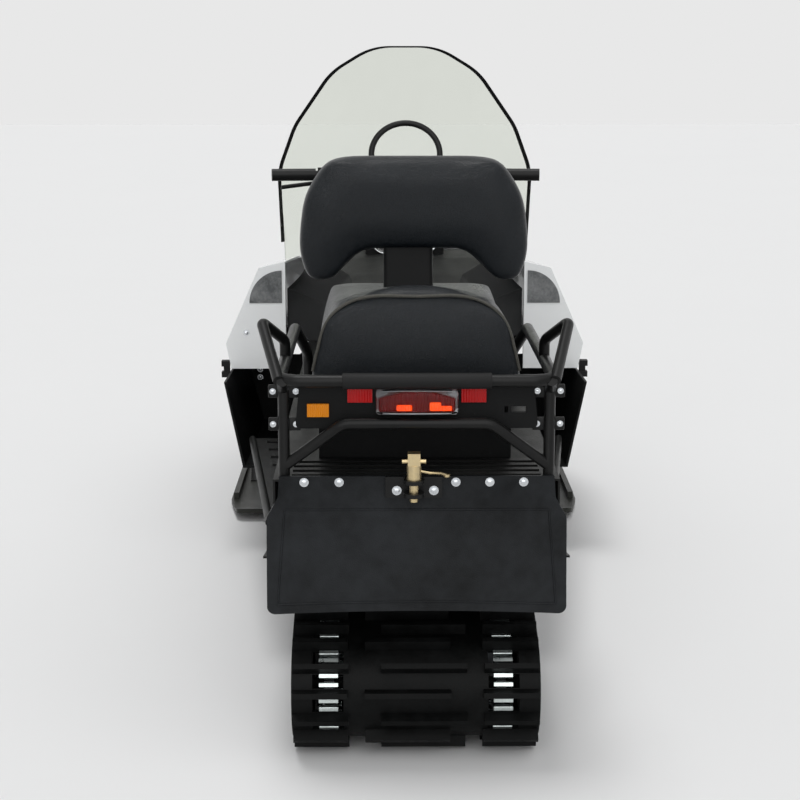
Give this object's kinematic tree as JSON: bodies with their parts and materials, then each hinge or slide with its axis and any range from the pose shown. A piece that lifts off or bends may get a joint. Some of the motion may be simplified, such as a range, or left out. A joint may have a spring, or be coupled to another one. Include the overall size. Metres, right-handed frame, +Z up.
{
  "type": "utility snowmobile",
  "caption": "Two-seat utility snowmobile with wide track, tilting hood, tall windshield, padded seat and backrest, rear tube rack, rubber snow flap and steered skis.",
  "frame": {"origin": "on the ground under the middle of the overall box", "axes": "+X forward, +Y to the rider's left, +Z up"},
  "size_m": [2.9176, 1.094, 1.4341],
  "materials": {
    "white_plastic": "glossy moulded hood plastic",
    "black_plastic": "textured black polyethylene",
    "black_paint": "satin black powder coat",
    "track_rubber": "moulded rubber",
    "flap_rubber": "heavy sheet rubber",
    "vinyl": "grained seat vinyl",
    "alloy": "brushed",
    "steel": "zinc plated",
    "clear": "clear tinted sheet",
    "trim": "edge strip",
    "lens_red": "moulded lens",
    "lens_amber": "moulded lens",
    "brass": "yellow passivated",
    "ski_plastic": "polyethylene",
    "label_dark": "dark smooth panel",
    "cast": "as cast"
  },
  "bodies": {
    "chassis": {"amber_reflector": "lens_amber", "backrest": "vinyl", "backrest_post": "black_paint", "belly_pan": "black_plastic", "bogie_wheels": "black_plastic", "carrier_wheels": "black_plastic", "column_bearing": "black_plastic", "console": "black_plastic", "drive_axle": "steel", "engine": "cast", "flap": "flap_rubber", "front_arm": "black_paint", "front_bumper": "black_paint", "front_frame": "black_paint", "front_shock": "steel", "hitch": "black_paint", "hitch_pin": "brass", "hood_hinge": "steel", "lamp_panel": "black_plastic", "latch_left": "trim", "latch_right": "trim", "rack": "black_paint", "rear_arm": "black_paint", "rear_idlers": "black_plastic", "rear_shock": "steel", "reflectors": "lens_red", "running_board_left": "black_paint", "running_board_right": "black_paint", "seat": "vinyl", "seat_base": "black_plastic", "slide_rails": "alloy", "strut_left": "black_paint", "strut_right": "black_paint", "tail_lamp": "lens_red", "track": "track_rubber", "tunnel": "black_paint"},
    "handlebar": {"handlebar": "black_paint"},
    "hood": {"hood": "white_plastic", "headlamps": "clear", "hood_panels": "label_dark", "windshield": "clear", "windshield_trim": "trim"},
    "tie_rod_left": {"tie_rod_left": "steel"},
    "tie_rod_right": {"tie_rod_right": "steel"},
    "ski_left": {"ski_left": "ski_plastic", "ski_leg_left": "steel", "gaiter_left": "trim", "ski_runner_left": "steel", "ski_saddle_left": "black_paint", "ski_pivot_left": "steel"},
    "ski_right": {"ski_right": "ski_plastic", "ski_leg_right": "steel", "gaiter_right": "trim", "ski_runner_right": "steel", "ski_saddle_right": "black_paint", "ski_pivot_right": "steel"}
  },
  "joints": [
    {"name": "steering", "type": "hinge", "parent": "chassis", "child": "handlebar", "pos_m": [0.13, 0, 1.08], "axis": [-0.4695, 0, 0.8829], "range_deg": [-35, 35]},
    {"name": "ski_left_steer", "type": "hinge", "parent": "chassis", "child": "ski_left", "pos_m": [0.88, 0.466, 0.11], "axis": [-0.2588, 0, 0.9659], "range_deg": [-28, 28]},
    {"name": "ski_right_steer", "type": "hinge", "parent": "chassis", "child": "ski_right", "pos_m": [0.88, -0.466, 0.11], "axis": [-0.2588, 0, 0.9659], "range_deg": [-28, 28]},
    {"name": "tie_rod_left_pivot", "type": "hinge", "parent": "ski_left", "child": "tie_rod_left", "pos_m": [0.74955, 0.44, 0.265], "axis": [-0.2588, 0, 0.9659], "range_deg": [-28, 28]},
    {"name": "tie_rod_right_pivot", "type": "hinge", "parent": "ski_right", "child": "tie_rod_right", "pos_m": [0.74955, -0.44, 0.265], "axis": [-0.2588, 0, 0.9659], "range_deg": [-28, 28]},
    {"name": "hood_tilt", "type": "hinge", "parent": "chassis", "child": "hood", "pos_m": [1.374, 0, 0.44], "axis": [0, 1, 0], "range_deg": [0, 65]}
  ],
  "couplings": [
    {"joint": "ski_left_steer", "follows": "steering", "ratio": 0.8},
    {"joint": "ski_right_steer", "follows": "steering", "ratio": 0.8},
    {"joint": "tie_rod_left_pivot", "follows": "steering", "ratio": -0.8},
    {"joint": "tie_rod_right_pivot", "follows": "steering", "ratio": -0.8}
  ]
}
